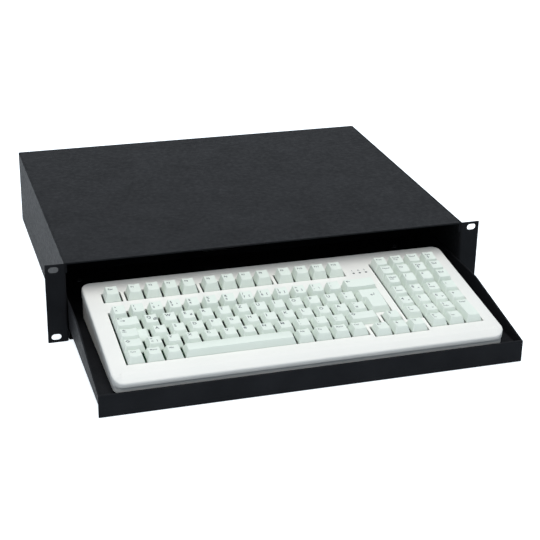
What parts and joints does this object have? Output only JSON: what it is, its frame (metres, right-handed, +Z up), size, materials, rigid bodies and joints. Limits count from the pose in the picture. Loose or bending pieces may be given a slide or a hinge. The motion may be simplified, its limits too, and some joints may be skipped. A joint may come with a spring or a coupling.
{
  "type": "rack keyboard tray",
  "caption": "Black steel two-unit rack drawer with slotted ears, its low-fronted tray pulled out on ball slides and holding a pale compact keyboard.",
  "frame": {"origin": "centre of the four rack slots, in the plane where the backs of the ears meet the rack rails", "axes": "+X to the right seen from the front, +Y towards the rear of the rack, +Z up"},
  "size_m": [0.4826, 0.523, 0.0882],
  "materials": {
    "black_paint": "satin black powder coat",
    "black_screws": "blackened steel",
    "slide_steel": "bright zinc plating",
    "black_rubber": "matt",
    "case_plastic": "fine texture",
    "key_plastic": "fine texture",
    "switch_plastic": "moulded",
    "board_laminate": "solder resist",
    "led_lens": "clear lens, unlit"
  },
  "bodies": {
    "housing": {"top_cover": "black_paint", "side_plate_right": "black_paint", "side_plate_left": "black_paint", "base_pan": "black_paint", "rear_screws": "black_screws", "slide_rivets": "slide_steel", "slide_bumpers": "black_rubber", "slide_outer_left": "slide_steel", "slide_outer_right": "slide_steel"},
    "tray_with_keyboard": {"tray": "black_paint", "tray_screws": "black_screws", "slide_inner_left": "slide_steel", "slide_inner_right": "slide_steel", "keyboard_top_case": "case_plastic", "keyboard_bottom_case": "case_plastic", "rubber_feet": "black_rubber", "cable_grommet": "black_rubber", "circuit_board": "board_laminate", "board_screws": "slide_steel", "indicator_leds": "led_lens", "key_switches": "switch_plastic"},
    "middle_member_left": {"slide_middle_left": "slide_steel"},
    "outer_cage_left": {"outer_ball_cage_left": "slide_steel"},
    "inner_cage_left": {"inner_ball_cage_left": "slide_steel"},
    "middle_member_right": {"slide_middle_right": "slide_steel"},
    "outer_cage_right": {"outer_ball_cage_right": "slide_steel"},
    "inner_cage_right": {"inner_ball_cage_right": "slide_steel"},
    "escape_key": {"key_escape": "key_plastic"},
    "function_row_left": {"function_keys_left": "key_plastic"},
    "function_row_middle": {"function_keys_middle": "key_plastic"},
    "function_row_right": {"function_keys_right": "key_plastic"},
    "number_row": {"number_keys": "key_plastic"},
    "backspace_key": {"key_backspace": "key_plastic"},
    "tab_key": {"key_tab": "key_plastic"},
    "upper_letter_row": {"upper_letter_keys": "key_plastic"},
    "enter_key": {"key_enter": "key_plastic"},
    "caps_lock_key": {"key_caps_lock": "key_plastic"},
    "home_letter_row": {"home_letter_keys": "key_plastic"},
    "left_shift_key": {"key_shift_left": "key_plastic"},
    "lower_letter_row": {"lower_letter_keys": "key_plastic"},
    "right_shift_key": {"key_shift_right": "key_plastic"},
    "left_modifiers": {"modifier_keys_left": "key_plastic"},
    "space_bar": {"key_space": "key_plastic"},
    "right_modifiers": {"modifier_keys_right": "key_plastic"},
    "up_arrow_key": {"key_arrow_up": "key_plastic"},
    "low_arrow_keys": {"arrow_keys_low": "key_plastic"},
    "pad_row_1": {"pad_keys_row_1": "key_plastic"},
    "pad_row_2": {"pad_keys_row_2": "key_plastic"},
    "pad_row_3": {"pad_keys_row_3": "key_plastic"},
    "pad_row_4": {"pad_keys_row_4": "key_plastic"},
    "pad_row_5": {"pad_keys_row_5": "key_plastic"},
    "pad_row_6": {"pad_keys_row_6": "key_plastic"},
    "pad_row_7": {"pad_keys_row_7": "key_plastic"},
    "pad_enter_key": {"key_pad_enter": "key_plastic"}
  },
  "joints": [
    {"name": "tray_slide", "type": "slide", "parent": "housing", "child": "tray_with_keyboard", "axis": [0, -1, 0], "range_m": [-0.166, 0.084]},
    {"name": "middle_slide_left", "type": "slide", "parent": "housing", "child": "middle_member_left", "axis": [0, -1, 0], "range_m": [-0.083, 0.042]},
    {"name": "outer_cage_slide_left", "type": "slide", "parent": "housing", "child": "outer_cage_left", "axis": [0, -1, 0], "range_m": [-0.0415, 0.021]},
    {"name": "inner_cage_slide_left", "type": "slide", "parent": "housing", "child": "inner_cage_left", "axis": [0, -1, 0], "range_m": [-0.1245, 0.063]},
    {"name": "middle_slide_right", "type": "slide", "parent": "housing", "child": "middle_member_right", "axis": [0, -1, 0], "range_m": [-0.083, 0.042]},
    {"name": "outer_cage_slide_right", "type": "slide", "parent": "housing", "child": "outer_cage_right", "axis": [0, -1, 0], "range_m": [-0.0415, 0.021]},
    {"name": "inner_cage_slide_right", "type": "slide", "parent": "housing", "child": "inner_cage_right", "axis": [0, -1, 0], "range_m": [-0.1245, 0.063]},
    {"name": "press_escape", "type": "slide", "parent": "tray_with_keyboard", "child": "escape_key", "axis": [0, 0.1125, -0.9937], "range_m": [0, 0.004], "stiffness_N_per_m": 150, "springref_m": -0.003},
    {"name": "press_function_left", "type": "slide", "parent": "tray_with_keyboard", "child": "function_row_left", "axis": [0, 0.1125, -0.9937], "range_m": [0, 0.004], "stiffness_N_per_m": 600, "springref_m": -0.003},
    {"name": "press_function_middle", "type": "slide", "parent": "tray_with_keyboard", "child": "function_row_middle", "axis": [0, 0.1125, -0.9937], "range_m": [0, 0.004], "stiffness_N_per_m": 600, "springref_m": -0.003},
    {"name": "press_function_right", "type": "slide", "parent": "tray_with_keyboard", "child": "function_row_right", "axis": [0, 0.1125, -0.9937], "range_m": [0, 0.004], "stiffness_N_per_m": 600, "springref_m": -0.003},
    {"name": "press_number_row", "type": "slide", "parent": "tray_with_keyboard", "child": "number_row", "axis": [0, 0.1125, -0.9937], "range_m": [0, 0.004], "stiffness_N_per_m": 1950, "springref_m": -0.003},
    {"name": "press_backspace", "type": "slide", "parent": "tray_with_keyboard", "child": "backspace_key", "axis": [0, 0.1125, -0.9937], "range_m": [0, 0.004], "stiffness_N_per_m": 150, "springref_m": -0.003},
    {"name": "press_tab", "type": "slide", "parent": "tray_with_keyboard", "child": "tab_key", "axis": [0, 0.1125, -0.9937], "range_m": [0, 0.004], "stiffness_N_per_m": 150, "springref_m": -0.003},
    {"name": "press_upper_letters", "type": "slide", "parent": "tray_with_keyboard", "child": "upper_letter_row", "axis": [0, 0.1125, -0.9937], "range_m": [0, 0.004], "stiffness_N_per_m": 1800, "springref_m": -0.003},
    {"name": "press_enter", "type": "slide", "parent": "tray_with_keyboard", "child": "enter_key", "axis": [0, 0.1125, -0.9937], "range_m": [0, 0.004], "stiffness_N_per_m": 150, "springref_m": -0.003},
    {"name": "press_caps_lock", "type": "slide", "parent": "tray_with_keyboard", "child": "caps_lock_key", "axis": [0, 0.1125, -0.9937], "range_m": [0, 0.004], "stiffness_N_per_m": 150, "springref_m": -0.003},
    {"name": "press_home_letters", "type": "slide", "parent": "tray_with_keyboard", "child": "home_letter_row", "axis": [0, 0.1125, -0.9937], "range_m": [0, 0.004], "stiffness_N_per_m": 1800, "springref_m": -0.003},
    {"name": "press_left_shift", "type": "slide", "parent": "tray_with_keyboard", "child": "left_shift_key", "axis": [0, 0.1125, -0.9937], "range_m": [0, 0.004], "stiffness_N_per_m": 150, "springref_m": -0.003},
    {"name": "press_lower_letters", "type": "slide", "parent": "tray_with_keyboard", "child": "lower_letter_row", "axis": [0, 0.1125, -0.9937], "range_m": [0, 0.004], "stiffness_N_per_m": 1650, "springref_m": -0.003},
    {"name": "press_right_shift", "type": "slide", "parent": "tray_with_keyboard", "child": "right_shift_key", "axis": [0, 0.1125, -0.9937], "range_m": [0, 0.004], "stiffness_N_per_m": 150, "springref_m": -0.003},
    {"name": "press_left_modifiers", "type": "slide", "parent": "tray_with_keyboard", "child": "left_modifiers", "axis": [0, 0.1125, -0.9937], "range_m": [0, 0.004], "stiffness_N_per_m": 450, "springref_m": -0.003},
    {"name": "press_space", "type": "slide", "parent": "tray_with_keyboard", "child": "space_bar", "axis": [0, 0.1125, -0.9937], "range_m": [0, 0.004], "stiffness_N_per_m": 150, "springref_m": -0.003},
    {"name": "press_right_modifiers", "type": "slide", "parent": "tray_with_keyboard", "child": "right_modifiers", "axis": [0, 0.1125, -0.9937], "range_m": [0, 0.004], "stiffness_N_per_m": 600, "springref_m": -0.003},
    {"name": "press_up_arrow", "type": "slide", "parent": "tray_with_keyboard", "child": "up_arrow_key", "axis": [0, 0.1125, -0.9937], "range_m": [0, 0.004], "stiffness_N_per_m": 150, "springref_m": -0.003},
    {"name": "press_low_arrows", "type": "slide", "parent": "tray_with_keyboard", "child": "low_arrow_keys", "axis": [0, 0.1125, -0.9937], "range_m": [0, 0.004], "stiffness_N_per_m": 450, "springref_m": -0.003},
    {"name": "press_pad_row_1", "type": "slide", "parent": "tray_with_keyboard", "child": "pad_row_1", "axis": [0, 0.1125, -0.9937], "range_m": [0, 0.004], "stiffness_N_per_m": 300, "springref_m": -0.003},
    {"name": "press_pad_row_2", "type": "slide", "parent": "tray_with_keyboard", "child": "pad_row_2", "axis": [0, 0.1125, -0.9937], "range_m": [0, 0.004], "stiffness_N_per_m": 450, "springref_m": -0.003},
    {"name": "press_pad_row_3", "type": "slide", "parent": "tray_with_keyboard", "child": "pad_row_3", "axis": [0, 0.1125, -0.9937], "range_m": [0, 0.004], "stiffness_N_per_m": 600, "springref_m": -0.003},
    {"name": "press_pad_row_4", "type": "slide", "parent": "tray_with_keyboard", "child": "pad_row_4", "axis": [0, 0.1125, -0.9937], "range_m": [0, 0.004], "stiffness_N_per_m": 600, "springref_m": -0.003},
    {"name": "press_pad_row_5", "type": "slide", "parent": "tray_with_keyboard", "child": "pad_row_5", "axis": [0, 0.1125, -0.9937], "range_m": [0, 0.004], "stiffness_N_per_m": 600, "springref_m": -0.003},
    {"name": "press_pad_row_6", "type": "slide", "parent": "tray_with_keyboard", "child": "pad_row_6", "axis": [0, 0.1125, -0.9937], "range_m": [0, 0.004], "stiffness_N_per_m": 600, "springref_m": -0.003},
    {"name": "press_pad_row_7", "type": "slide", "parent": "tray_with_keyboard", "child": "pad_row_7", "axis": [0, 0.1125, -0.9937], "range_m": [0, 0.004], "stiffness_N_per_m": 600, "springref_m": -0.003},
    {"name": "press_pad_enter", "type": "slide", "parent": "tray_with_keyboard", "child": "pad_enter_key", "axis": [0, 0.1125, -0.9937], "range_m": [0, 0.004], "stiffness_N_per_m": 150, "springref_m": -0.003}
  ],
  "couplings": [
    {"joint": "middle_slide_left", "follows": "tray_slide", "ratio": 0.5},
    {"joint": "outer_cage_slide_left", "follows": "tray_slide", "ratio": 0.25},
    {"joint": "inner_cage_slide_left", "follows": "tray_slide", "ratio": 0.75},
    {"joint": "middle_slide_right", "follows": "tray_slide", "ratio": 0.5},
    {"joint": "outer_cage_slide_right", "follows": "tray_slide", "ratio": 0.25},
    {"joint": "inner_cage_slide_right", "follows": "tray_slide", "ratio": 0.75}
  ]
}
